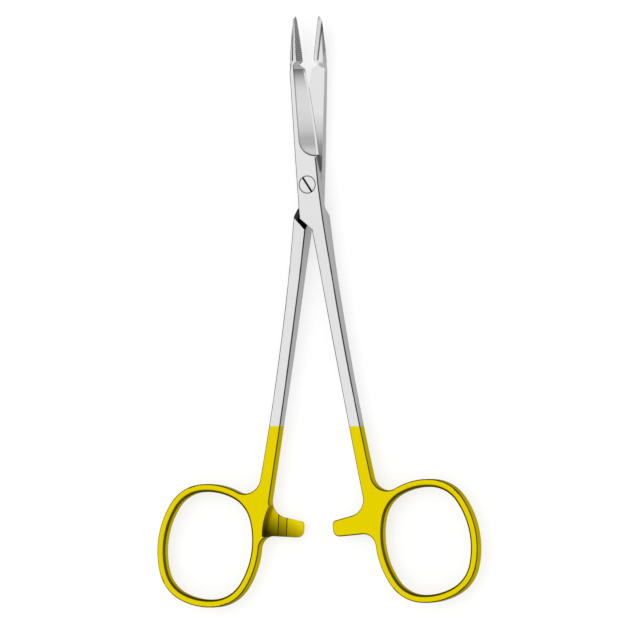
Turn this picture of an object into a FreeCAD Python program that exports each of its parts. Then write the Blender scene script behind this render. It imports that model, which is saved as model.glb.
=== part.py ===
"""Surgical needle holder with built-in suture scissors, 165 mm long.

Two forged steel arms cross at a lap joint and turn on one slotted screw.
Each arm is a jaw with a hard gripping insert, a scissor blade, half of the
joint, a shank, a ratchet bar and a finger ring. Both arms come from one
forging: the back arm is the front arm turned over about the long axis, and
only their screw holes differ.

Millimetres. Each arm is drawn closed, about the screw's axis, with the plane
where the two halves meet at z = 0: +Y runs to the jaw tip, the jaw lies at
x < 0 and the finger ring at x > 0. The arms are then opened to the angle at
which the instrument lies, and raised until the back of the joint is at z = 0.
"""
import FreeCAD, Part
import math
import os

from FreeCAD import Vector

# Pose in which the instrument lies
opening_angle = 8.45

# Reach along the instrument, from the screw's axis
tip_reach = 46.6
jaw_root_reach = 33.6
insert_foot_reach = 34.2
blade_corner_reach = 31.85
blade_foot_reach = 8.4
ring_centre_reach = 100.9

# Thickness from front to back
joint_thickness = 6.0
jaw_thickness = 4.9
shank_top_thickness = 4.6
shank_top_thinned_reach = 24.0
handle_thickness = 3.5
handle_reach = 62.0
face_blend_radius = 120.0

# Running clearances
lap_clearance = 0.03
grip_clearance = 0.02
head_clearance = 0.06
neck_clearance = 0.05
head_seat_clearance = 0.04
shoulder_clearance = 0.5
tooth_clearance = 0.05

# Jaw and its gripping insert, ground round when closed
jaw_width = 2.35
jaw_root_radius = 2.85
jaw_bulge = 0.05
nose_length = 1.8
nose_radius = 1.0
nose_bulge = 0.28
jaw_runout_length = 4.0
jaw_runout_rise = 0.85
jaw_runout_bow = 0.1
insert_thickness = 0.95
jaw_end_slope = 35.0
jaw_end_reach = 34.0

# Scissor blade
blade_corner_overlap = 1.4
blade_bow = 0.49
notch_depth = 0.15
notch_reach = 33.1
edge_land = 0.12
bevel_width = 0.45
bevel_rise = 0.28

# Hollow ground in the blade's outer face
hollow_top_reach = 32.2
hollow_top_offset = 1.25
hollow_arch_reach = 34.1
hollow_arch_offset = 0.3
hollow_arch_bow = 0.53
hollow_foot_reach = 7.53
hollow_foot_offset = 1.42
hollow_foot_radius = 4.7
hollow_foot_lean = 10.0
hollow_tilt = 24.0
hollow_lift = 0.3
hollow_end_slope = 26.0

# Joint
joint_inner_width = 3.2
shoulder_reach = 7.2
shoulder_lean = 32.0
shoulder_outer_width = 3.3
shoulder_outer_reach = 9.3
joint_foot_reach = 10.3

# Screw
head_diameter = 4.9
head_height = 1.3
neck_diameter = 3.2
thread_diameter = 2.5
slot_width = 0.6
slot_depth = 0.7
slot_angle = 123.0
head_edge_round = 0.15

# Shank, as offsets of its edges from the centre line
shank_top_reach = 12.6
shank_top_inner = 0.05
shank_foot_inner = 7.8
shank_inner_bow = 0.31
shank_outer_bow = 1.28

# Finger ring
ring_centre_offset = 24.7
ring_inner_width = 25.3
ring_inner_length = 29.6
ring_side_radius = 22.0
ring_corner_radius = 9.5
ring_end_radius = 17.0
ring_band = 2.2
ring_lean = 6.8
ring_web_radius = 4.8
shank_into_ring = 6.6

# Ratchet bar
bar_tip_crossing = 2.25
bar_above_ring_centre = 8.0
bar_height = 4.4
bar_top_slope = 9.4
bar_inner_radius = 4.5
bar_tip_top_radius = 1.1
bar_tip_foot_radius = 1.9
bar_ring_radius = 3.6
tooth_pitch = 2.5
tooth_depth = 0.6
tooth_count = 2
tooth_rim = 0.3
tooth_groove_width = 0.5
tooth_groove_depth = 0.4
last_tooth_offset = 4.8
tooth_pocket_offset = 9.0
tooth_pocket_radius = 17.0

# Rounding of the forging's edges
edge_round = 0.4
ring_inner_round = 0.9
shoulder_corner_round = 0.9

half_joint = joint_thickness / 2
half_opening = opening_angle / 2
half_jaw = jaw_thickness / 2
bar_tip_reach = ring_centre_reach - bar_above_ring_centre
bar_foot_reach = bar_tip_reach + bar_height
ring_inner_left = ring_centre_offset - ring_inner_width / 2
beyond = 10.0
trim_stock = 1.0
tiny = 0.01


def at(x, y, z=0.0):
    return Vector(x, y, z)


def polyline(points):
    return [Part.makeLine(a, b) for a, b in zip(points, points[1:])]


def face_of(edges):
    return Part.Face(Part.Wire(edges))


def polygon(points):
    return face_of(polyline(points + points[:1]))


def slab(face, low, high):
    """Extrude a plan face between two heights."""
    moved = face.copy()
    moved.translate(at(0, 0, low))
    return moved.extrude(at(0, 0, high - low))


def round_corner(solid, x, y, radius):
    """Round the upright edge of a slab that is nearest to a plan point."""
    upright = [e for e in solid.Edges if e.BoundBox.ZLength > 1 and e.BoundBox.XLength < tiny]
    nearest = min(upright, key=lambda e: math.hypot(e.BoundBox.Center.x - x, e.BoundBox.Center.y - y))
    return solid.makeFillet(radius, [nearest])


def smooth_path(points, radius):
    """Straight runs through the points, joined by tangent arcs."""
    edges = []
    start = points[0]
    for before, corner, after in zip(points, points[1:], points[2:]):
        way_in = (corner - before).normalize()
        way_out = (after - corner).normalize()
        turn = way_in.getAngle(way_out)
        setback = radius * math.tan(turn / 2)
        middle = (way_out - way_in).normalize()
        crown = corner + middle * (radius / math.cos(turn / 2) - radius)
        arc = Part.Arc(corner - way_in * setback, crown, corner + way_out * setback)
        edges.append(Part.makeLine(start, corner - way_in * setback))
        edges.append(arc.toShape())
        start = corner + way_out * setback
    edges.append(Part.makeLine(start, points[-1]))
    return edges


def oval(band):
    """The ring's opening, grown by a band: an oval of eight tangent arcs."""
    half_width = ring_inner_width / 2
    half_length = ring_inner_length / 2
    side = at(half_width - ring_side_radius, 0)
    end = at(0, half_length - ring_end_radius)
    to_side = ring_side_radius - ring_corner_radius
    to_end = ring_end_radius - ring_corner_radius
    apart = side.distanceToPoint(end)
    along = (to_side ** 2 - to_end ** 2 + apart ** 2) / (2 * apart)
    aside = math.sqrt(to_side ** 2 - along ** 2)
    way = (end - side).normalize()
    corner = side + way * along + at(-way.y, way.x) * aside
    side_end = side + (corner - side).normalize() * (ring_side_radius + band)
    end_start = end + (corner - end).normalize() * (ring_end_radius + band)
    corner_way = ((side_end - corner).normalize() + (end_start - corner).normalize()).normalize()
    corner_middle = corner + corner_way * (ring_corner_radius + band)
    edges = [
        Part.Arc(at(side_end.x, -side_end.y), at(half_width + band, 0), side_end).toShape(),
        Part.Arc(side_end, corner_middle, end_start).toShape(),
        Part.Arc(end_start, at(0, half_length + band), at(-end_start.x, end_start.y)).toShape(),
        Part.Arc(at(end_start.x, -end_start.y), at(corner_middle.x, -corner_middle.y),
                 at(side_end.x, -side_end.y)).toShape(),
    ]
    for edge in list(edges):
        other = edge.copy()
        other.rotate(at(0, 0), at(0, 0, 1), 180)
        edges.append(other)
    face = face_of(Part.__sortEdges__(edges))
    face.rotate(at(0, 0), at(0, 0, 1), ring_lean)
    face.translate(at(ring_centre_offset, -ring_centre_reach))
    return face


def bowed(start, end, bow):
    """Flat arc between two points, bowed to the left of the way."""
    way = (end - start).normalize()
    return Part.Arc(start, (start + end) * 0.5 + at(-way.y, way.x) * bow, end)


def cutting_edge():
    """The blade's cutting side, a flat arc from its corner to the joint."""
    return bowed(at(blade_corner_overlap, blade_corner_reach), at(joint_inner_width, 0), blade_bow)


def outer_edge():
    """The shank's outer edge, a flat arc from the joint into the ring."""
    foot = at(ring_inner_left, shank_into_ring - ring_centre_reach)
    return bowed(at(joint_inner_width, 0), foot, -shank_outer_bow)


def bar_top_height(x):
    """Height of the ratchet bar's upper edge at a given distance across."""
    return -bar_tip_reach + (x + bar_tip_crossing) * math.tan(math.radians(bar_top_slope))


def inner_edge():
    """The shank's inner edge, a flat arc down to the ratchet bar."""
    foot = at(shank_foot_inner, bar_top_height(shank_foot_inner))
    return bowed(at(shank_top_inner, -shank_top_reach), foot, -shank_inner_bow)


def arm_outline():
    """Plan of jaw, blade, joint, shank and ratchet bar as one closed face."""
    inner = inner_edge()
    outer = outer_edge()
    edges = [inner.toShape(), outer.toShape(), cutting_edge().toShape()]
    edges += polyline([
        at(blade_corner_overlap, blade_corner_reach),
        at(-notch_depth, notch_reach),
        at(-grip_clearance, jaw_root_reach),
        at(-grip_clearance, tip_reach + trim_stock),
        at(-jaw_width, tip_reach + trim_stock),
        at(-jaw_width, jaw_root_reach),
        at(-shoulder_outer_width, -shoulder_outer_reach),
        at(shank_top_inner, -shank_top_reach),
    ])
    edges += polyline([
        inner.value(inner.LastParameter),
        at(-bar_tip_crossing, bar_top_height(-bar_tip_crossing)),
        at(-bar_tip_crossing, -bar_foot_reach),
        at(ring_inner_left, -bar_foot_reach),
        outer.value(outer.LastParameter),
    ])
    return face_of(Part.__sortEdges__(edges))


def side_profile():
    """Thickness of the forging along its length, seen from the side."""
    beyond_tip = tip_reach + 2 * trim_stock
    beyond_ring = -ring_centre_reach - ring_inner_length
    stations = [
        (beyond_tip, half_jaw),
        (jaw_root_reach, half_jaw),
        (blade_foot_reach, half_joint),
        (-joint_foot_reach, half_joint),
        (-shank_top_thinned_reach, shank_top_thickness / 2),
        (-handle_reach, handle_thickness / 2),
        (beyond_ring, handle_thickness / 2),
    ]
    front = [at(0, reach, half) for reach, half in stations]
    back = [at(0, reach, -half) for reach, half in stations]
    edges = smooth_path(front, face_blend_radius) + smooth_path(back, face_blend_radius)
    edges += [Part.makeLine(front[0], back[0]), Part.makeLine(front[-1], back[-1])]
    face = face_of(Part.__sortEdges__(edges))
    face.translate(at(-2 * beyond, 0, 0))
    return face.extrude(at(8 * beyond, 0, 0))


def long_edges(solid):
    """The edges round the front and back faces, but for those of the jaw."""
    found = []
    for edge in solid.Edges:
        box = edge.BoundBox
        middle = edge.valueAt((edge.FirstParameter + edge.LastParameter) / 2)
        upright = box.XLength < tiny and box.YLength < tiny
        crosswise = box.YLength < tiny
        at_grip = middle.y > blade_corner_reach - trim_stock / 2 and middle.x > -jaw_width / 2
        if not upright and not crosswise and not at_grip:
            found.append(edge)
    return found


def in_ring(edge):
    """Whether an edge runs round the ring's opening."""
    middle = edge.valueAt((edge.FirstParameter + edge.LastParameter) / 2)
    return face_of(oval(ring_band / 2).Edges).isInside(at(middle.x, middle.y), tiny, True)


def forged_blank():
    """Arm with a blunt jaw: plan, side profile, ring and rounded edges."""
    inner_foot = inner_edge().value(inner_edge().LastParameter)
    ring = oval(ring_band)
    web = outer_edge().toShape().section(ring.OuterWire).Vertexes[0]
    strip = slab(arm_outline(), -beyond, beyond)
    strip = round_corner(strip, -shoulder_outer_width, -shoulder_outer_reach, shoulder_corner_round)
    strip = round_corner(strip, shank_top_inner, -shank_top_reach, shoulder_corner_round)
    strip = round_corner(strip, inner_foot.x, inner_foot.y, bar_inner_radius)
    strip = round_corner(strip, -bar_tip_crossing, bar_top_height(-bar_tip_crossing), bar_tip_top_radius)
    strip = round_corner(strip, -bar_tip_crossing, -bar_foot_reach, bar_tip_foot_radius)
    blank = strip.fuse(slab(ring, -beyond, beyond))
    blank = round_corner(blank, web.X, web.Y, ring_web_radius)
    blank = round_corner(blank, ring_inner_left - ring_band, -bar_foot_reach, bar_ring_radius)
    blank = blank.cut(slab(oval(0), -2 * beyond, 2 * beyond))
    blank = blank.common(side_profile())
    blank = blank.makeFillet(edge_round, [e for e in long_edges(blank) if not in_ring(e)])
    return blank.makeFillet(ring_inner_round, [e for e in long_edges(blank) if in_ring(e)])


def bullet():
    """Round ogive with a domed nose that the closed jaws are ground to."""
    nose_start = tip_reach - nose_length
    runout_reach = jaw_root_reach - jaw_runout_length
    root = at(jaw_root_radius, jaw_root_reach)
    runout = at(jaw_root_radius + jaw_runout_rise, runout_reach)
    nose = at(nose_radius, nose_start)
    tip = at(0, tip_reach)
    foot = -ring_centre_reach * 2
    flare = 6 * beyond
    edges = polyline([tip, at(0, foot), at(flare, foot), at(flare, runout_reach), runout])
    edges.append(bowed(runout, root, jaw_runout_bow).toShape())
    edges.append(bowed(root, nose, -jaw_bulge).toShape())
    edges.append(bowed(nose, tip, -nose_bulge).toShape())
    return face_of(Part.__sortEdges__(edges)).revolve(at(0, 0), at(0, 1, 0), 360)


def insert_space():
    """The seat of the gripping insert along the jaw's closing face."""
    corner = at(-insert_thickness - grip_clearance, insert_foot_reach, -beyond)
    return Part.makeBox(insert_thickness, 2 * beyond, 2 * beyond, corner)


def shoulder_line(level, distance, side):
    """Points of a slanted shoulder, 45 degrees across, at one height."""
    lean = math.tan(math.radians(shoulder_lean))
    reach = (distance + abs(level) * lean) * math.sqrt(2)
    return lambda x: side * x - reach


def lap_cutter():
    """What the other arm's half of the joint and blade takes away behind."""
    slope = math.tan(math.radians(jaw_end_slope))
    wires = []
    for level in (lap_clearance, -beyond):
        shoulder = shoulder_line(min(level, 0), shoulder_reach, 1)
        points = [
            at(-beyond, jaw_end_reach - beyond * slope, level),
            at(beyond, jaw_end_reach + beyond * slope, level),
            at(2 * beyond, shoulder(2 * beyond), level),
            at(shank_top_inner, shoulder(shank_top_inner), level),
            at(shank_top_inner, -shank_top_reach - trim_stock, level),
            at(-beyond, -shank_top_reach - trim_stock, level),
        ]
        wires.append(Part.Wire(polyline(points + points[:1])))
    return Part.makeLoft(wires, True, True)


def plate_edge_cutter():
    """Undercut of the front half's lower edge, clear of the other shoulder."""
    wires = []
    for level in (-lap_clearance, beyond):
        shoulder = shoulder_line(max(level, 0), shoulder_reach - shoulder_clearance, -1)
        points = [
            at(-beyond, shoulder(-beyond), level),
            at(shank_top_inner, shoulder(shank_top_inner), level),
            at(shank_top_inner, -shank_top_reach - trim_stock, level),
            at(-beyond, -shank_top_reach - trim_stock, level),
        ]
        wires.append(Part.Wire(polyline(points + points[:1])))
    return Part.makeLoft(wires, True, True)


def overlap_at(reach):
    """How far the cutting edge stands beyond the centre line at one reach."""
    circle = cutting_edge().toShape().Curve
    return circle.Center.x + math.sqrt(circle.Radius ** 2 - (reach - circle.Center.y) ** 2)


def ground_section(reach, lift, bevelled):
    """Section of what grinding takes off the blade, above floor and bevel."""
    edge = overlap_at(reach)
    foot = edge - bevel_width
    rise = edge_land + bevel_rise + lift
    tilt = math.tan(math.radians(hollow_tilt))
    fall = (bevel_rise + lift) / bevel_width if bevelled else tilt
    out = foot + bevel_width + trim_stock
    points = [
        at(out, reach, half_joint + trim_stock),
        at(-beyond, reach, half_joint + trim_stock + beyond),
        at(-beyond, reach, rise + (foot + beyond) * tilt),
        at(foot, reach, rise),
        at(out, reach, rise - fall * (out - foot)),
    ]
    return Part.Wire(polyline(points + points[:1]))


def hollow_well():
    """What the hollow may reach: open on the cutting side, its foot leaning."""
    top = at(-hollow_top_offset, hollow_top_reach)
    corner = at(-hollow_foot_offset, hollow_foot_reach)
    arch = at(hollow_arch_offset, hollow_arch_reach)
    edges = smooth_path([top, corner, at(beyond, hollow_foot_reach)], hollow_foot_radius)
    edges += polyline([at(beyond, hollow_foot_reach), at(beyond, hollow_arch_reach), arch])
    edges.append(bowed(top, arch, hollow_arch_bow).toShape())
    lean = math.tan(math.radians(hollow_foot_lean))
    plan = face_of(Part.__sortEdges__(edges))
    plan.translate(at(0, half_joint * lean, 0))
    height = half_joint + trim_stock
    return plan.extrude(at(0, -height * lean, height))


def hollow_cutter():
    """Hollow with its end slope, and the bevel along the cutting edge."""
    middle = (hollow_top_reach + hollow_foot_reach) / 2
    half = (hollow_top_reach - hollow_foot_reach) / 2
    floor = []
    for step in range(-4, 5):
        part_way = step / 4
        reach = middle + part_way * (half + tiny)
        floor.append(ground_section(reach, hollow_lift * part_way ** 4, True))
    slope = math.tan(math.radians(hollow_end_slope))
    rise = hollow_lift + half_joint * slope
    end = [
        ground_section(hollow_top_reach, hollow_lift, False),
        ground_section(hollow_top_reach + half_joint, rise, False),
    ]
    ground = Part.makeLoft(floor, True, False).fuse(Part.makeLoft(end, True, True))
    return hollow_well().common(ground)


def tooth_cutter():
    """Ratchet teeth above a thin rim, and the pocket they stand in."""
    crest = tooth_clearance
    foot = tooth_clearance + tooth_depth
    behind = -half_joint - trim_stock
    points = [
        at(-bar_tip_crossing - trim_stock, 0, behind),
        at(-bar_tip_crossing - trim_stock, 0, foot),
        at(last_tooth_offset - tooth_count * tooth_pitch, 0, foot),
    ]
    for back in reversed(range(tooth_count)):
        wall = last_tooth_offset - back * tooth_pitch
        points.append(at(wall, 0, crest))
        points.append(at(wall, 0, foot + tooth_groove_depth))
        points.append(at(wall + tooth_groove_width, 0, foot + tooth_groove_depth))
        points.append(at(wall + tooth_groove_width, 0, foot))
    points.append(at(beyond + trim_stock, 0, foot))
    points.append(at(beyond + trim_stock, 0, behind))
    teeth = polygon(points).extrude(at(0, bar_height + beyond, 0))
    teeth.translate(at(0, tooth_rim - bar_foot_reach, 0))
    corner = at(-2 * beyond, -bar_foot_reach - tooth_rim, behind)
    clear = Part.makeBox(4 * beyond, bar_height + beyond + 2 * tooth_rim, crest - behind, corner)
    centre = at(tooth_pocket_offset - tooth_pocket_radius, trim_stock - bar_foot_reach, -beyond)
    pocket = Part.makeCylinder(tooth_pocket_radius, 2 * beyond, centre)
    return pocket.common(teeth.fuse(clear))


def steel_arm():
    """One arm in steel, with every cut but its screw hole and insert seat."""
    arm = forged_blank().common(bullet())
    for cutter in (lap_cutter(), plate_edge_cutter(), hollow_cutter(), tooth_cutter()):
        arm = arm.cut(cutter)
    return arm


def turned_over(shape):
    """The same shape turned half round about the instrument's long axis."""
    other = shape.copy()
    other.rotate(at(0, 0), at(0, 1, 0), 180)
    return other


def screw_hole_front():
    """Seat for the screw's head, and a running hole for its neck."""
    seat = half_joint - head_height - head_seat_clearance
    head = Part.makeCylinder(head_diameter / 2 + head_clearance, beyond, at(0, 0, seat))
    neck = Part.makeCylinder(neck_diameter / 2 + neck_clearance, 2 * beyond, at(0, 0, -beyond))
    return head.fuse(neck)


def screw_hole_back():
    """Hole that the screw's thread fills."""
    return Part.makeCylinder(thread_diameter / 2, 2 * beyond, at(0, 0, -beyond))


def pivot_screw():
    """Slotted shoulder screw: broad flush head, running neck, thread."""
    head_foot = half_joint - head_height
    head = Part.makeCylinder(head_diameter / 2, head_height, at(0, 0, head_foot))
    rim = [e for e in head.Edges if abs(e.BoundBox.ZMin - half_joint) < tiny and e.BoundBox.ZLength < tiny]
    head = head.makeFillet(head_edge_round, rim)
    neck = Part.makeCylinder(neck_diameter / 2, head_foot + lap_clearance, at(0, 0, -lap_clearance))
    thread = Part.makeCylinder(thread_diameter / 2, half_joint - lap_clearance, at(0, 0, -half_joint))
    slot_start = at(-head_diameter, -slot_width / 2, half_joint - slot_depth)
    slot = Part.makeBox(2 * head_diameter, slot_width, slot_depth + trim_stock, slot_start)
    slot.rotate(at(0, 0), at(0, 0, 1), slot_angle)
    return head.fuse([neck, thread]).removeSplitter().cut(slot)


def placed(shape, turn):
    """Open a shape about the screw and stand the joint's back on z = 0."""
    moved = shape.copy()
    moved.rotate(at(0, 0), at(0, 0, 1), turn)
    moved.translate(at(0, 0, half_joint))
    return moved


def main():
    os.makedirs("parts", exist_ok=True)
    steel = steel_arm()
    insert = steel.common(insert_space())
    bare = steel.cut(insert_space())
    nodes = {
        "front_arm": placed(bare.cut(screw_hole_front()), half_opening),
        "front_jaw_insert": placed(insert, half_opening),
        "back_arm": placed(turned_over(bare).cut(screw_hole_back()), -half_opening),
        "back_jaw_insert": placed(turned_over(insert), -half_opening),
        "pivot_screw": placed(pivot_screw(), 0),
    }
    for name, shape in nodes.items():
        shape.exportStep(f"parts/{name}.step")
        box = shape.BoundBox
        print(name, shape.isValid(), len(shape.Solids), round(shape.Volume, 2),
              [round(v, 2) for v in (box.XMin, box.YMin, box.ZMin, box.XMax, box.YMax, box.ZMax)])


if __name__ == "__main__":
    main()
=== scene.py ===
"""Surgical needle holder with suture scissors: finishes, lights and camera."""
import math

import bmesh
import bpy
from bpy.props import FloatProperty, FloatVectorProperty, PointerProperty
from bpy.types import Operator, Panel, PropertyGroup
from mathutils import Matrix, Vector

bl_info = {
    "name": "Surgical Needle Holder",
    "version": (1, 0, 0),
    "blender": (4, 5, 0),
    "location": "View3D > Sidebar > Needle Holder",
    "description": "Finishes and stage for a needle holder with suture scissors",
    "category": "Object",
}

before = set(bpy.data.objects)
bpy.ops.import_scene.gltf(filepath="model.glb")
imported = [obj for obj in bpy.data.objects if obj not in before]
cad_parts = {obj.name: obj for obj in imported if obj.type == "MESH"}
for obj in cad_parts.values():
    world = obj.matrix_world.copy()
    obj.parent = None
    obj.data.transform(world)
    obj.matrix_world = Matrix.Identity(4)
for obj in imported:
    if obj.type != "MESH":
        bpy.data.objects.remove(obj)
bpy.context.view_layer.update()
MM = 0.001

# Height of the plane in which the two arms lap
LAP_PLANE = 3.0 * MM

# Zones along the instrument, from where each begins to where it holds in full
HANDLE_ZONE = (-84.0 * MM, -86.0 * MM)
LAP_ZONE = (3.0 * MM, 4.0 * MM)
BLADE_ZONE = (7.2 * MM, 7.8 * MM)
JAW_ROOT_ZONE = (30.5 * MM, 31.5 * MM)
JAW_ZONE = (33.2 * MM, 33.7 * MM)
BELOW_JAW_ZONE = (33.2 * MM, 33.0 * MM)
SEAM_ZONE = (33.8 * MM, 34.4 * MM)

# Ranges of how squarely a surface faces front or back, for each kind of surface
WALL = (0.35, 0.3)
TOOTH_FLOOR = (0.6, 0.7)
GROUND_FACE = (0.8, 0.85)
FLAT_FACE = (0.9, 0.95)

# Sideways lean of the blade's hollow, and the lean from which a wall faces outward
HOLLOW_TILT = -0.4
OUTWARD_LEAN = (0.05, 0.2)

# Middle height of the narrow land along the cutting edge
EDGE_LAND_HEIGHT = 3.1 * MM

# Distance of an insert's back from its grip face
INSERT_DEPTH = 1.15 * MM

# Distance of the groove floors between the ratchet teeth from the lap plane
TOOTH_FLOOR_DEPTH = 1.05 * MM

# Corner of the ratchet's pocket, and how much faster its painted shade fades upwards than inwards
POCKET_CORNER_SIDE = 13.7 * MM
POCKET_CORNER_REACH = -96.5 * MM
POCKET_SHADE_RISE = 1.6

# Half the width over which steel turns to gold at the plating line
PLATING_FADE = 0.1 * MM

# Screw's head: its rounded rim and the slot's floor, both darkened with painted shade
HEAD_RIM = (2.15 * MM, 2.25 * MM)
SLOT_FLOOR = (5.9 * MM, 5.8 * MM)

# Strength of the painted shade on the rounded edges, by how squarely the surface faces front or back
FORGED_EDGE_SHADE = ((0.0, 0.15), (0.1, 0.4), (0.25, 1.0), (0.93, 1.0), (0.965, 0.0))
GROUND_EDGE_SHADE = ((0.0, 0.25), (0.1, 0.75), (0.42, 0.75), (0.6, 0.0))

# Share of the painted shade on the rounding that fades out at the jaw's root
JAW_ROOT_FADE = 0.55

# Painted shade in the blade's hollow, as millimetres of reach and brightness
HOLLOW_SHADE = (
    (8.0, 0.8), (9.5, 0.76), (11.0, 0.56), (12.9, 0.56), (15.0, 0.74), (18.0, 0.86), (22.0, 0.9),
    (26.0, 0.88), (28.5, 0.7), (30.2, 0.48), (31.0, 0.3), (31.9, 0.2), (32.1, 0.8), (33.0, 0.8),
)

# Painted shade on the lap face, likewise
LAP_SHADE = ((4.0, 0.25), (8.0, 0.3), (10.8, 0.4), (12.2, 0.54), (14.5, 0.75), (20.0, 1.0))

# Painted shade in the ratchet's pocket, as millimetres from its corner and brightness
POCKET_SHADE = ((0.0, 0.06), (3.0, 0.2), (6.0, 0.4), (9.5, 0.68), (13.0, 1.0))

# Painted shade multiplied onto the steel beside the jaw's seam, on the cutting edge's land and on the
# screw head's rim
SEAM_SHADE = 0.25
EDGE_LAND_SHADE = 0.5
HEAD_RIM_SHADE = 0.3

# How far past its margin a mask fades out, as a multiple of the margin
MARGIN_FADE = 1.2

# Levels of the grain's tone that reach the ends of a spread
TONE_RANGE = (0.3, 0.7)

# Where a crest of the hatch rises and where it is full, as shares of the pitch
CREST_SLOPE = (0.1, 0.4)

# Relief of the grain in steel and of the hatch in carbide
GRAIN_DEPTH = 0.004 * MM
HATCH_DEPTH = 0.1 * MM

# Brightness of the studio's walls by their turn in degrees, and by their height from -1 to 1
WALLS_BY_TURN = (
    (-180, 0.6), (-100, 0.6), (-92, 0.1), (-74, 0.1), (-62, 1.0),
    (84, 1.0), (96, 0.35), (150, 0.35), (180, 0.6),
)
WALLS_BY_HEIGHT = (
    (-1.0, 0.4), (-0.77, 0.7), (-0.5, 0.5), (-0.3, 0.6), (-0.15, 1.0),
    (0.25, 1.0), (0.4, 0.8), (0.6, 0.7), (1.0, 0.3),
)

# Width of the picture and place of the pivot in it, in pixels
PICTURE_PIXELS = 625.0
PIVOT_PIXEL = (311.0, 184.6)

# Stage
FLOOR_HALF_WIDTH = 2.0
FLOOR_DROP = 0.2 * MM
LAMP_SIZE = 0.6
LAMP_PLACE = (-0.25, 0.1, 0.7)
LAMP_AIM = (0.0, -0.04, 0.0)


class SteelFinish(PropertyGroup):
    """Satin stainless steel of the arms and the screw."""

    colour: FloatVectorProperty(
        name="Colour",
        description="Colour of the bare steel",
        subtype="COLOR",
        size=3,
        min=0.0,
        max=1.0,
        default=(0.77, 0.77, 0.77),
    )
    roughness: FloatProperty(
        name="Roughness",
        description="Softness of reflections in the satin steel",
        min=0.05,
        max=1.0,
        default=0.2,
    )
    # Painted shade left on the rounded edges, the floors of the ratchet's tooth grooves and the screw's
    # slot floor
    painted_shade_tone: FloatProperty(
        name="Painted Shade",
        description="Brightness left on the rounded edges, where the polish is darkest",
        subtype="FACTOR",
        min=0.0,
        max=1.0,
        default=0.07,
    )
    grazing_tone: FloatProperty(
        name="Grazing Tone",
        description="How much light the metal throws back at a grazing angle",
        subtype="FACTOR",
        min=0.0,
        max=1.0,
        default=0.3,
    )
    grain: FloatProperty(
        name="Grain",
        description="Width of the polishing grain",
        unit="LENGTH",
        min=0.00005,
        max=0.002,
        default=0.00025,
    )


class PlatingFinish(PropertyGroup):
    """Gold plating of the lower shanks, ratchet bars and rings."""

    colour: FloatVectorProperty(
        name="Colour",
        description="Colour of the gold plating",
        subtype="COLOR",
        size=3,
        min=0.0,
        max=1.0,
        default=(0.82, 0.66, 0.0),
    )
    # Painted shade left on the plated rounded edges
    painted_shade_tone: FloatProperty(
        name="Painted Shade",
        description="Brightness left on the plated rounded edges",
        subtype="FACTOR",
        min=0.0,
        max=1.0,
        default=0.14,
    )
    roughness: FloatProperty(
        name="Roughness",
        description="Softness of reflections in the plating",
        min=0.05,
        max=1.0,
        default=0.28,
    )
    line: FloatProperty(
        name="Plating Line",
        description="Height along the instrument below which the arms are plated",
        unit="LENGTH",
        default=-0.0665,
    )


class GripFinish(PropertyGroup):
    """Cross-hatched carbide of the jaw inserts."""

    # Painted shade in the grooves of the hatch
    groove_shade_colour: FloatVectorProperty(
        name="Groove Shade Colour",
        description="Colour in the grooves of the hatched carbide",
        subtype="COLOR",
        size=3,
        min=0.0,
        max=1.0,
        default=(0.02, 0.02, 0.02),
    )
    crest_colour: FloatVectorProperty(
        name="Crest Colour",
        description="Colour on the crests of the hatched carbide",
        subtype="COLOR",
        size=3,
        min=0.0,
        max=1.0,
        default=(0.55, 0.55, 0.55),
    )
    ground_colour: FloatVectorProperty(
        name="Ground Colour",
        description="Colour of the inserts where they are ground flush with the jaws",
        subtype="COLOR",
        size=3,
        min=0.0,
        max=1.0,
        default=(0.74, 0.74, 0.74),
    )
    roughness: FloatProperty(
        name="Roughness",
        description="Softness of reflections in the carbide",
        min=0.05,
        max=1.0,
        default=0.3,
    )
    grain: FloatProperty(
        name="Grain",
        description="Width of the carbide's grain",
        unit="LENGTH",
        min=0.00005,
        max=0.002,
        default=1.0 / 3000.0,
    )
    pitch: FloatProperty(
        name="Hatch Pitch",
        description="Distance between neighbouring grooves of the hatch",
        unit="LENGTH",
        min=0.0002,
        max=0.002,
        default=0.0008,
    )
    half_opening: FloatProperty(
        name="Half Opening",
        description="Angle that each jaw stands away from the middle",
        subtype="ANGLE",
        default=math.radians(4.225),
    )


class StageSettings(PropertyGroup):
    """Camera, lamps and floor."""

    side_angle: FloatProperty(
        name="Side Angle",
        description="How far round to the right the camera looks from",
        subtype="ANGLE",
        default=math.radians(20.5),
    )
    roll: FloatProperty(
        name="Roll",
        description="Turn of the instrument in the picture",
        subtype="ANGLE",
        default=math.radians(1.36),
    )
    picture_width: FloatProperty(
        name="Picture Width",
        description="Width of the view at the instrument",
        unit="LENGTH",
        min=0.05,
        default=0.1721,
    )
    distance: FloatProperty(
        name="Camera Distance",
        description="Distance from the camera to the instrument",
        unit="LENGTH",
        min=0.5,
        default=8.0,
    )
    lamp_power: FloatProperty(
        name="Lamp Power",
        description="Power of the large soft lamp over the instrument",
        subtype="POWER",
        min=0.0,
        default=1.2,
    )
    floor_colour: FloatVectorProperty(
        name="Floor Colour",
        description="Colour of the floor",
        subtype="COLOR",
        size=3,
        min=0.0,
        max=1.0,
        default=(0.32, 0.32, 0.32),
    )
    floor_glow: FloatProperty(
        name="Floor Glow",
        description="Light added to the floor where the camera or the metal sees it",
        min=0.0,
        max=1.0,
        default=0.68,
    )


class NeedleHolderSettings(PropertyGroup):
    """All sizes and colours of the needle holder."""

    steel: PointerProperty(type=SteelFinish)
    plating: PointerProperty(type=PlatingFinish)
    grip: PointerProperty(type=GripFinish)
    stage: PointerProperty(type=StageSettings)


def add(tree, kind, **settings):
    """A new shader node with attributes set by name."""
    node = tree.nodes.new(kind)
    for name, value in settings.items():
        setattr(node, name, value)
    return node


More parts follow.
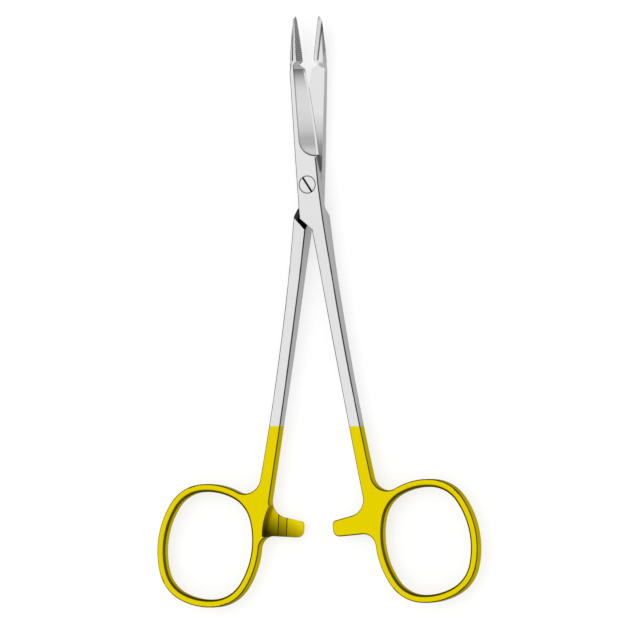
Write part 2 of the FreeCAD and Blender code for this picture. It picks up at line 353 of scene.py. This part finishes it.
def feed(tree, value, socket):
    """Link a socket to another one, or set its plain value."""
    if isinstance(value, bpy.types.NodeSocket):
        tree.links.new(value, socket)
    else:
        socket.default_value = value


def math_node(tree, operation, *values):
    """A maths node of one operation, fed by sockets or plain numbers."""
    node = add(tree, "ShaderNodeMath", operation=operation)
    for socket, value in zip(node.inputs, values):
        feed(tree, value, socket)
    return node.outputs["Value"]


def dot(tree, vector, direction):
    """How far a vector reaches in a fixed direction."""
    node = add(tree, "ShaderNodeVectorMath", operation="DOT_PRODUCT")
    node.inputs[1].default_value = direction
    tree.links.new(vector, node.inputs[0])
    return node.outputs["Value"]


def split(tree, vector):
    """The three numbers of a vector."""
    node = add(tree, "ShaderNodeSeparateXYZ")
    tree.links.new(vector, node.inputs["Vector"])
    return node.outputs["X"], node.outputs["Y"], node.outputs["Z"]


def step(tree, value, start, end):
    """A mask that goes from 0 at the start value to 1 at the end value."""
    node = add(tree, "ShaderNodeMapRange")
    node.inputs["From Min"].default_value = start
    node.inputs["From Max"].default_value = end
    tree.links.new(value, node.inputs["Value"])
    return node.outputs["Result"]


def levels(tree, value, stops):
    """A grey that follows a value from 0 to 1 through a list of stops."""
    node = add(tree, "ShaderNodeValToRGB")
    elements = node.color_ramp.elements
    while len(elements) < len(stops):
        elements.new(1.0)
    for element, (position, level) in zip(elements, stops):
        element.position = position
        element.color = (level, level, level, 1.0)
    tree.links.new(value, node.inputs["Fac"])
    return node.outputs["Color"]


def along_reach(tree, reach, stops):
    """A tone that follows a reach through stops given in millimetres."""
    first = stops[0][0]
    last = stops[-1][0]
    share = step(tree, reach, first * MM, last * MM)
    return levels(tree, share, [((place - first) / (last - first), tone) for place, tone in stops])


def near(tree, value, target, margin):
    """A mask of the places where a value is within a margin of its target."""
    gap = math_node(tree, "ABSOLUTE", math_node(tree, "SUBTRACT", value, target))
    return step(tree, gap, margin * MARGIN_FADE, margin)


def product(tree, first, *others):
    """Masks multiplied by each other."""
    result = first
    for other in others:
        result = math_node(tree, "MULTIPLY", result, other)
    return result


def without(tree, mask):
    """The places that a mask leaves out."""
    return math_node(tree, "SUBTRACT", 1.0, mask)


def blended(tree, mask, first, second, kind="RGBA"):
    """The first value or colour where a mask is 0, and the second where it is 1."""
    node = add(tree, "ShaderNodeMix", data_type=kind)
    tree.links.new(mask, node.inputs["Factor"])
    feed(tree, first, node.inputs["A"])
    feed(tree, second, node.inputs["B"])
    return node.outputs["Result"]


def shaded(tree, colour, mask, tone):
    """Colour multiplied, where a mask says so, by a number or by a tone that varies."""
    node = add(tree, "ShaderNodeMix", data_type="RGBA", blend_type="MULTIPLY")
    tree.links.new(mask, node.inputs["Factor"])
    tree.links.new(colour, node.inputs["A"])
    if isinstance(tone, float):
        tone = (tone, tone, tone, 1.0)
    feed(tree, tone, node.inputs["B"])
    return node.outputs["Result"]


def surface_place(tree):
    """Position and normal on the object, both in its own frame."""
    place = add(tree, "ShaderNodeTexCoord")
    return place.outputs["Object"], place.outputs["Normal"]


def new_material(name):
    """An empty node material with its Principled shader."""
    material = bpy.data.materials.new(name)
    material.use_nodes = True
    shader = material.node_tree.nodes["Principled BSDF"]
    return material, material.node_tree, shader


def dress(node_name, material):
    """Give a CAD node a material in place of the one that it came with."""
    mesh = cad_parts[node_name].data
    mesh.materials.clear()
    mesh.materials.append(material)


def satin_grain_group():
    """Fine polishing grain with faint cloudiness, as height and tone."""
    group = bpy.data.node_groups.get("Satin Grain")
    if group:
        return group
    group = bpy.data.node_groups.new("Satin Grain", "ShaderNodeTree")
    face = group.interface
    face.new_socket("Vector", in_out="INPUT", socket_type="NodeSocketVector")
    scale = face.new_socket("Grain Scale", in_out="INPUT", socket_type="NodeSocketFloat")
    scale.default_value = 4000.0
    face.new_socket("Height", in_out="OUTPUT", socket_type="NodeSocketFloat")
    face.new_socket("Tone", in_out="OUTPUT", socket_type="NodeSocketFloat")
    source = add(group, "NodeGroupInput")
    result = add(group, "NodeGroupOutput")
    along = add(group, "ShaderNodeMapping")
    along.inputs["Scale"].default_value = (1.0, 0.12, 1.0)
    strokes = add(group, "ShaderNodeTexNoise", noise_dimensions="3D")
    strokes.inputs["Detail"].default_value = 2.0
    fine = add(group, "ShaderNodeTexNoise", noise_dimensions="3D")
    fine.inputs["Detail"].default_value = 1.0
    clouds = add(group, "ShaderNodeTexNoise", noise_dimensions="3D")
    clouds.inputs["Scale"].default_value = 160.0
    clouds.inputs["Detail"].default_value = 3.0
    links = group.links
    links.new(source.outputs["Vector"], along.inputs["Vector"])
    links.new(along.outputs["Vector"], strokes.inputs["Vector"])
    links.new(source.outputs["Grain Scale"], strokes.inputs["Scale"])
    links.new(source.outputs["Vector"], fine.inputs["Vector"])
    links.new(source.outputs["Grain Scale"], fine.inputs["Scale"])
    links.new(source.outputs["Vector"], clouds.inputs["Vector"])
    height = math_node(group, "ADD", strokes.outputs["Fac"], fine.outputs["Fac"])
    links.new(math_node(group, "MULTIPLY", height, 0.5), result.inputs["Height"])
    cloud_share = math_node(group, "MULTIPLY", clouds.outputs["Fac"], 0.7)
    stroke_share = math_node(group, "MULTIPLY", strokes.outputs["Fac"], 0.3)
    links.new(math_node(group, "ADD", cloud_share, stroke_share), result.inputs["Tone"])
    return group


def grain(tree, width):
    """Place the satin grain group on object coordinates, and give its tone and height."""
    position, _ = surface_place(tree)
    node = add(tree, "ShaderNodeGroup", node_tree=satin_grain_group())
    node.inputs["Grain Scale"].default_value = 1.0 / width
    tree.links.new(position, node.inputs["Vector"])
    return node.outputs["Tone"], node.outputs["Height"]


def toned(tree, tone, colour, spread):
    """Colour that the grain's tone lightens and darkens a little."""
    ramp = add(tree, "ShaderNodeValToRGB")
    low, high = ramp.color_ramp.elements
    low.position, high.position = TONE_RANGE
    low.color = (*[channel * (1.0 - spread) for channel in colour], 1.0)
    high.color = (*[min(channel * (1.0 + spread), 1.0) for channel in colour], 1.0)
    tree.links.new(tone, ramp.inputs["Fac"])
    return ramp.outputs["Color"]


def spread_about(tree, tone, middle, spread):
    """A number that the grain's tone moves about its middle."""
    node = add(tree, "ShaderNodeMapRange")
    node.inputs["From Min"].default_value = TONE_RANGE[0]
    node.inputs["From Max"].default_value = TONE_RANGE[1]
    node.inputs["To Min"].default_value = middle - spread
    node.inputs["To Max"].default_value = middle + spread
    tree.links.new(tone, node.inputs["Value"])
    return node.outputs["Result"]


def bumped(tree, height, shader, depth):
    """Feed a height into the shader's normal through a bump."""
    bump = add(tree, "ShaderNodeBump")
    bump.inputs["Strength"].default_value = 1.0
    bump.inputs["Distance"].default_value = depth
    tree.links.new(height, bump.inputs["Height"])
    tree.links.new(bump.outputs["Normal"], shader.inputs["Normal"])


def edge_shade_group():
    """Painted shade where the arms are rounded between their faces and walls, as a mask."""
    group = bpy.data.node_groups.get("Painted Edge Shade")
    if group:
        return group
    group = bpy.data.node_groups.new("Painted Edge Shade", "ShaderNodeTree")
    face = group.interface
    face.new_socket("Normal", in_out="INPUT", socket_type="NodeSocketVector")
    face.new_socket("Position", in_out="INPUT", socket_type="NodeSocketVector")
    face.new_socket("Outward", in_out="INPUT", socket_type="NodeSocketFloat")
    face.new_socket("Mask", in_out="OUTPUT", socket_type="NodeSocketFloat")
    source = add(group, "NodeGroupInput")
    result = add(group, "NodeGroupOutput")
    across, _, upward = split(group, source.outputs["Normal"])
    _, reach, _ = split(group, source.outputs["Position"])
    squareness = math_node(group, "ABSOLUTE", upward)
    forged = levels(group, squareness, FORGED_EDGE_SHADE)
    ground = levels(group, squareness, GROUND_EDGE_SHADE)
    lean = math_node(group, "MULTIPLY", across, source.outputs["Outward"])
    outward = step(group, lean, *OUTWARD_LEAN)
    blade = step(group, reach, *BLADE_ZONE)
    jaw = step(group, reach, *JAW_ZONE)
    hollow_side = product(group, blade, without(group, outward))
    root = math_node(group, "MULTIPLY", step(group, reach, *JAW_ROOT_ZONE), JAW_ROOT_FADE)
    on_arm = product(group, forged, *[without(group, mask) for mask in (hollow_side, jaw, root)])
    on_jaw = product(group, ground, jaw)
    group.links.new(math_node(group, "ADD", on_arm, on_jaw), result.inputs["Mask"])
    return group


def painted_edge_shade(tree, outward):
    """Place the painted edge shade group, where outward is the side, -1 or 1, of the blade's back."""
    position, normal = surface_place(tree)
    node = add(tree, "ShaderNodeGroup", node_tree=edge_shade_group())
    node.inputs["Outward"].default_value = outward
    tree.links.new(normal, node.inputs["Normal"])
    tree.links.new(position, node.inputs["Position"])
    return node.outputs["Mask"]


def off_grip(tree, position, opening):
    """Distance from the plane of a jaw's grip face, with its side as the sign."""
    return dot(tree, position, (math.cos(opening), math.sin(opening), 0.0))


def tooth_groove_shade_mask(tree):
    """Floors of the grooves between the ratchet teeth, as a mask for painted shade."""
    position, normal = surface_place(tree)
    _, _, upward = split(tree, normal)
    _, reach, height = split(tree, position)
    off_lap = math_node(tree, "ABSOLUTE", math_node(tree, "SUBTRACT", height, LAP_PLANE))
    floor = near(tree, off_lap, TOOTH_FLOOR_DEPTH, margin=0.1 * MM)
    level = step(tree, math_node(tree, "ABSOLUTE", upward), *TOOTH_FLOOR)
    return product(tree, floor, level, step(tree, reach, *HANDLE_ZONE))


def painted_pocket_shade(tree, colour):
    """Painted shade that deepens towards the corner of the ratchet's pocket."""
    position, normal = surface_place(tree)
    _, _, upward = split(tree, normal)
    side, reach, height = split(tree, position)
    level = step(tree, math_node(tree, "ABSOLUTE", upward), *FLAT_FACE)
    shallow = near(tree, height, LAP_PLANE, margin=0.75 * MM)
    handle = step(tree, reach, *HANDLE_ZONE)
    inward = math_node(tree, "SUBTRACT", POCKET_CORNER_SIDE, math_node(tree, "ABSOLUTE", side))
    raised = math_node(tree, "SUBTRACT", reach, POCKET_CORNER_REACH)
    away = math_node(tree, "ADD", inward, math_node(tree, "MULTIPLY", raised, POCKET_SHADE_RISE))
    tone = along_reach(tree, away, POCKET_SHADE)
    return shaded(tree, colour, product(tree, level, shallow, handle), tone)


def painted_blade_shade(tree, colour, outward, opening):
    """Painted shade on the hollow, the lap face, beside the jaw's seam and on the cutting edge's land."""
    position, normal = surface_place(tree)
    across, _, upward = split(tree, normal)
    _, reach, height = split(tree, position)
    squareness = math_node(tree, "ABSOLUTE", upward)
    blade = step(tree, reach, *BLADE_ZONE)
    tilt = math_node(tree, "MULTIPLY", across, outward)
    ground_face = step(tree, squareness, *GROUND_FACE)
    # Painted shade along the hollow
    hollow = product(tree, near(tree, tilt, HOLLOW_TILT, margin=0.07), ground_face, blade)
    colour = shaded(tree, colour, hollow, along_reach(tree, reach, HOLLOW_SHADE))
    # Painted shade on the lap face
    on_lap = near(tree, height, LAP_PLANE, margin=0.06 * MM)
    lap_face = product(tree, on_lap, step(tree, squareness, *FLAT_FACE))
    lap = product(tree, lap_face, step(tree, reach, *LAP_ZONE))
    colour = shaded(tree, colour, lap, along_reach(tree, reach, LAP_SHADE))
    # Painted shade on the steel beside the insert's back
    depth = math_node(tree, "ABSOLUTE", off_grip(tree, position, opening))
    insert_back = near(tree, depth, INSERT_DEPTH, margin=0.2 * MM)
    seam = product(tree, insert_back, step(tree, reach, *SEAM_ZONE))
    colour = shaded(tree, colour, seam, SEAM_SHADE)
    # Painted shade on the narrow land along the cutting edge
    wall = step(tree, squareness, *WALL)
    land = product(tree, near(tree, height, EDGE_LAND_HEIGHT, margin=0.12 * MM), wall, blade)
    land = product(tree, land, step(tree, reach, *BELOW_JAW_ZONE))
    return shaded(tree, colour, land, EDGE_LAND_SHADE)


def arm_material(name, settings, outward):
    """Satin steel, gold plated below the line, where outward is the side of the blade's back."""
    steel = settings.steel
    plating = settings.plating
    roll = settings.stage.roll
    material, tree, shader = new_material(name)
    tone, relief = grain(tree, steel.grain)
    position, _ = surface_place(tree)
    height = dot(tree, position, (math.sin(roll), math.cos(roll), 0.0))
    plated = step(tree, height, plating.line + PLATING_FADE, plating.line - PLATING_FADE)
    # Painted shade on the rounded edges of the steel and the gold
    edge = painted_edge_shade(tree, outward)
    bare = shaded(tree, toned(tree, tone, steel.colour, spread=0.02), edge, steel.painted_shade_tone)
    # Painted shade on the blade's hollow, lap face, beside the seam and on the cutting edge's land
    bare = painted_blade_shade(tree, bare, outward, -outward * settings.grip.half_opening)
    gold = shaded(tree, toned(tree, tone, plating.colour, spread=0.02), edge, plating.painted_shade_tone)
    # Painted shade in the ratchet's pocket and on the floors of its tooth grooves
    gold = shaded(tree, painted_pocket_shade(tree, gold), tooth_groove_shade_mask(tree), steel.painted_shade_tone)
    tree.links.new(blended(tree, plated, bare, gold), shader.inputs["Base Color"])
    satin = spread_about(tree, tone, steel.roughness, spread=0.03)
    polish = spread_about(tree, tone, plating.roughness, spread=0.03)
    tree.links.new(blended(tree, plated, satin, polish, kind="FLOAT"), shader.inputs["Roughness"])
    shader.inputs["Specular Tint"].default_value = (*[steel.grazing_tone] * 3, 1.0)
    shader.inputs["Metallic"].default_value = 1.0
    bumped(tree, relief, shader, GRAIN_DEPTH)
    return material


class NEEDLEHOLDER_OT_arms(Operator):
    """Finish both arms in satin steel with gold-plated handles"""

    bl_idname = "needle_holder.finish_arms"
    bl_label = "Finish Arms"

    def execute(self, context):
        settings = context.scene.needle_holder
        dress("front_arm", arm_material("Front Arm Steel And Gold", settings, -1.0))
        dress("back_arm", arm_material("Back Arm Steel And Gold", settings, 1.0))
        return {"FINISHED"}


class NEEDLEHOLDER_OT_screw(Operator):
    """Finish the pivot screw in satin steel"""

    bl_idname = "needle_holder.finish_screw"
    bl_label = "Finish Screw"

    def execute(self, context):
        steel = context.scene.needle_holder.steel
        material, tree, shader = new_material("Turned Screw Steel")
        tone, relief = grain(tree, steel.grain)
        position, _ = surface_place(tree)
        x, y, z = split(tree, position)
        radius = math_node(tree, "SQRT", math_node(tree, "ADD", product(tree, x, x), product(tree, y, y)))
        colour = toned(tree, tone, steel.colour, spread=0.03)
        # Painted shade on the head's rounded rim and on the slot's floor
        colour = shaded(tree, colour, step(tree, radius, *HEAD_RIM), HEAD_RIM_SHADE)
        colour = shaded(tree, colour, step(tree, z, *SLOT_FLOOR), steel.painted_shade_tone)
        tree.links.new(colour, shader.inputs["Base Color"])
        roughness = spread_about(tree, tone, steel.roughness, spread=0.04)
        tree.links.new(roughness, shader.inputs["Roughness"])
        shader.inputs["Specular Tint"].default_value = (*[steel.grazing_tone] * 3, 1.0)
        shader.inputs["Metallic"].default_value = 1.0
        bumped(tree, relief, shader, GRAIN_DEPTH)
        dress("pivot_screw", material)
        return {"FINISHED"}


def hatch_crests(tree, position, pitch):
    """Crests between two sets of slanting grooves, from 0 in a groove to 1 on a crest."""
    grooves = []
    for side in (1.0, -1.0):
        across = dot(tree, position, (0.0, math.sqrt(0.5), side * math.sqrt(0.5)))
        grooves.append(math_node(tree, "PINGPONG", across, pitch / 2))
    floor, top = [share * pitch for share in CREST_SLOPE]
    return step(tree, math_node(tree, "MINIMUM", *grooves), floor, top)


def insert_material(name, grip, opening):
    """Carbide that is ground bright outside and hatched on its grip face."""
    material, tree, shader = new_material(name)
    tone, _ = grain(tree, grip.grain)
    position, _ = surface_place(tree)
    grip_face = near(tree, off_grip(tree, position, opening), 0.0, margin=0.1 * MM)
    crest = hatch_crests(tree, position, grip.pitch)
    # The hatch's grooves take painted shade
    hatch = blended(tree, crest, (*grip.groove_shade_colour, 1.0), (*grip.crest_colour, 1.0))
    ground = toned(tree, tone, grip.ground_colour, spread=0.04)
    tree.links.new(blended(tree, grip_face, ground, hatch), shader.inputs["Base Color"])
    roughness = spread_about(tree, tone, grip.roughness, spread=0.05)
    tree.links.new(roughness, shader.inputs["Roughness"])
    shader.inputs["Metallic"].default_value = 1.0
    bumped(tree, product(tree, crest, grip_face), shader, HATCH_DEPTH)
    return material


class NEEDLEHOLDER_OT_inserts(Operator):
    """Finish the jaw inserts in cross-hatched carbide"""

    bl_idname = "needle_holder.finish_inserts"
    bl_label = "Finish Jaw Inserts"

    def execute(self, context):
        grip = context.scene.needle_holder.grip
        dress("front_jaw_insert", insert_material("Front Insert Carbide", grip, grip.half_opening))
        dress("back_jaw_insert", insert_material("Back Insert Carbide", grip, -grip.half_opening))
        return {"FINISHED"}


def camera_axes(stage):
    """Right, up and back directions of the camera, in the part's frame."""
    back = Vector((
        math.sin(stage.side_angle) * math.cos(stage.roll),
        -math.sin(stage.side_angle) * math.sin(stage.roll),
        math.cos(stage.side_angle),
    ))
    up = Vector((math.sin(stage.roll), math.cos(stage.roll), 0.0))
    return up.cross(back), up, back


def place_camera(stage):
    """A long lens that frames the instrument as in the photograph."""
    pixel = stage.picture_width / PICTURE_PIXELS
    right, up, back = camera_axes(stage)
    middle = Vector((0.0, 0.0, LAP_PLANE))
    middle += right * ((PICTURE_PIXELS / 2 - PIVOT_PIXEL[0]) * pixel)
    middle -= up * ((PICTURE_PIXELS / 2 - PIVOT_PIXEL[1]) * pixel)
    data = bpy.data.cameras.new("Camera")
    data.sensor_width = 36.0
    data.lens = data.sensor_width * stage.distance / stage.picture_width
    data.clip_end = 3.0 * stage.distance
    camera = bpy.data.objects.new("Camera", data)
    pose = Matrix((right, up, back)).transposed().to_4x4()
    pose.translation = middle + back * stage.distance
    camera.matrix_world = pose
    bpy.context.scene.collection.objects.link(camera)
    bpy.context.scene.camera = camera


def studio_walls(tree):
    """Light and dark walls all round the object, by turn and by height."""
    place = add(tree, "ShaderNodeTexCoord")
    right, up, front = split(tree, place.outputs["Generated"])
    turn = math_node(tree, "DIVIDE", math_node(tree, "ARCTAN2", right, front), math.tau)
    turned = math_node(tree, "ADD", turn, 0.5)
    by_turn = levels(tree, turned, [(angle / 360.0 + 0.5, tone) for angle, tone in WALLS_BY_TURN])
    raised = math_node(tree, "ADD", math_node(tree, "DIVIDE", up, 2.0), 0.5)
    by_height = levels(tree, raised, [(height / 2.0 + 0.5, tone) for height, tone in WALLS_BY_HEIGHT])
    walls = add(tree, "ShaderNodeMix", data_type="RGBA", blend_type="MULTIPLY")
    walls.inputs["Factor"].default_value = 1.0
    tree.links.new(by_turn, walls.inputs["A"])
    tree.links.new(by_height, walls.inputs["B"])
    return walls.outputs["Result"]


def studio_world():
    """White behind the object, with the studio's walls where metal reflects it."""
    world = bpy.data.worlds.new("Studio")
    world.use_nodes = True
    tree = world.node_tree
    tree.nodes.clear()
    output = add(tree, "ShaderNodeOutputWorld")
    reflected = add(tree, "ShaderNodeBackground")
    tree.links.new(studio_walls(tree), reflected.inputs["Color"])
    white = add(tree, "ShaderNodeBackground")
    white.inputs["Color"].default_value = (1.0, 1.0, 1.0, 1.0)
    rays = add(tree, "ShaderNodeLightPath")
    choice = add(tree, "ShaderNodeMixShader")
    tree.links.new(rays.outputs["Is Glossy Ray"], choice.inputs["Fac"])
    tree.links.new(white.outputs["Background"], choice.inputs[1])
    tree.links.new(reflected.outputs["Background"], choice.inputs[2])
    tree.links.new(choice.outputs["Shader"], output.inputs["Surface"])
    bpy.context.scene.world = world


def floor_material(stage):
    """Pale floor that glows only where the camera, metal or glass sees it."""
    material, tree, shader = new_material("Pale Floor")
    shader.inputs["Base Color"].default_value = (*stage.floor_colour, 1.0)
    shader.inputs["Roughness"].default_value = 0.9
    shader.inputs["Specular IOR Level"].default_value = 0.0
    shader.inputs["Emission Color"].default_value = (1.0, 1.0, 1.0, 1.0)
    rays = add(tree, "ShaderNodeLightPath")
    seen = math_node(tree, "MAXIMUM", rays.outputs["Is Camera Ray"], rays.outputs["Is Glossy Ray"])
    seen = math_node(tree, "MAXIMUM", seen, rays.outputs["Is Transmission Ray"])
    glow = math_node(tree, "MULTIPLY", seen, stage.floor_glow)
    tree.links.new(glow, shader.inputs["Emission Strength"])
    return material


def lay_floor(stage):
    """A floor that keeps a soft shadow under the instrument."""
    shape = bmesh.new()
    bmesh.ops.create_grid(shape, x_segments=1, y_segments=1, size=FLOOR_HALF_WIDTH)
    bmesh.ops.translate(shape, verts=shape.verts, vec=(0.0, 0.0, -FLOOR_DROP))
    mesh = bpy.data.meshes.new("Floor")
    shape.to_mesh(mesh)
    shape.free()
    floor = bpy.data.objects.new("Floor", mesh)
    bpy.context.scene.collection.objects.link(floor)
    mesh.materials.append(floor_material(stage))


def hang_lamp(stage):
    """One large soft lamp high over the instrument."""
    data = bpy.data.lights.new("Softbox", "AREA")
    data.size = LAMP_SIZE
    data.energy = stage.lamp_power
    lamp = bpy.data.objects.new("Softbox", data)
    lamp.location = LAMP_PLACE
    aim = Vector(LAMP_AIM) - lamp.location
    lamp.rotation_euler = aim.to_track_quat("-Z", "Y").to_euler()
    lamp.visible_glossy = False
    bpy.context.scene.collection.objects.link(lamp)


class NEEDLEHOLDER_OT_stage(Operator):
    """Set the floor, the studio light and the camera"""

    bl_idname = "needle_holder.set_stage"
    bl_label = "Set Stage"

    def execute(self, context):
        stage = context.scene.needle_holder.stage
        place_camera(stage)
        studio_world()
        lay_floor(stage)
        hang_lamp(stage)
        context.scene.view_settings.view_transform = "Standard"
        return {"FINISHED"}


class NEEDLEHOLDER_PT_panel(Panel):
    """Needle holder tools in the sidebar of the 3D view"""

    bl_label = "Needle Holder"
    bl_idname = "NEEDLEHOLDER_PT_panel"
    bl_space_type = "VIEW_3D"
    bl_region_type = "UI"
    bl_category = "Needle Holder"

    def draw(self, context):
        layout = self.layout
        settings = context.scene.needle_holder
        for label, group in (
            ("Steel", settings.steel),
            ("Plating", settings.plating),
            ("Grip", settings.grip),
            ("Stage", settings.stage),
        ):
            box = layout.box()
            box.label(text=label)
            for name in type(group).__annotations__:
                box.prop(group, name)
        for operator in OPERATORS:
            layout.operator(operator.bl_idname)


OPERATORS = (
    NEEDLEHOLDER_OT_arms,
    NEEDLEHOLDER_OT_screw,
    NEEDLEHOLDER_OT_inserts,
    NEEDLEHOLDER_OT_stage,
)

CLASSES = (
    SteelFinish,
    PlatingFinish,
    GripFinish,
    StageSettings,
    NeedleHolderSettings,
    *OPERATORS,
    NEEDLEHOLDER_PT_panel,
)


def register():
    for cls in CLASSES:
        bpy.utils.register_class(cls)
    bpy.types.Scene.needle_holder = PointerProperty(type=NeedleHolderSettings)


def unregister():
    del bpy.types.Scene.needle_holder
    for cls in reversed(CLASSES):
        bpy.utils.unregister_class(cls)


def main():
    register()
    bpy.ops.needle_holder.finish_arms()
    bpy.ops.needle_holder.finish_screw()
    bpy.ops.needle_holder.finish_inserts()
    bpy.ops.needle_holder.set_stage()


if __name__ == "__main__":
    main()
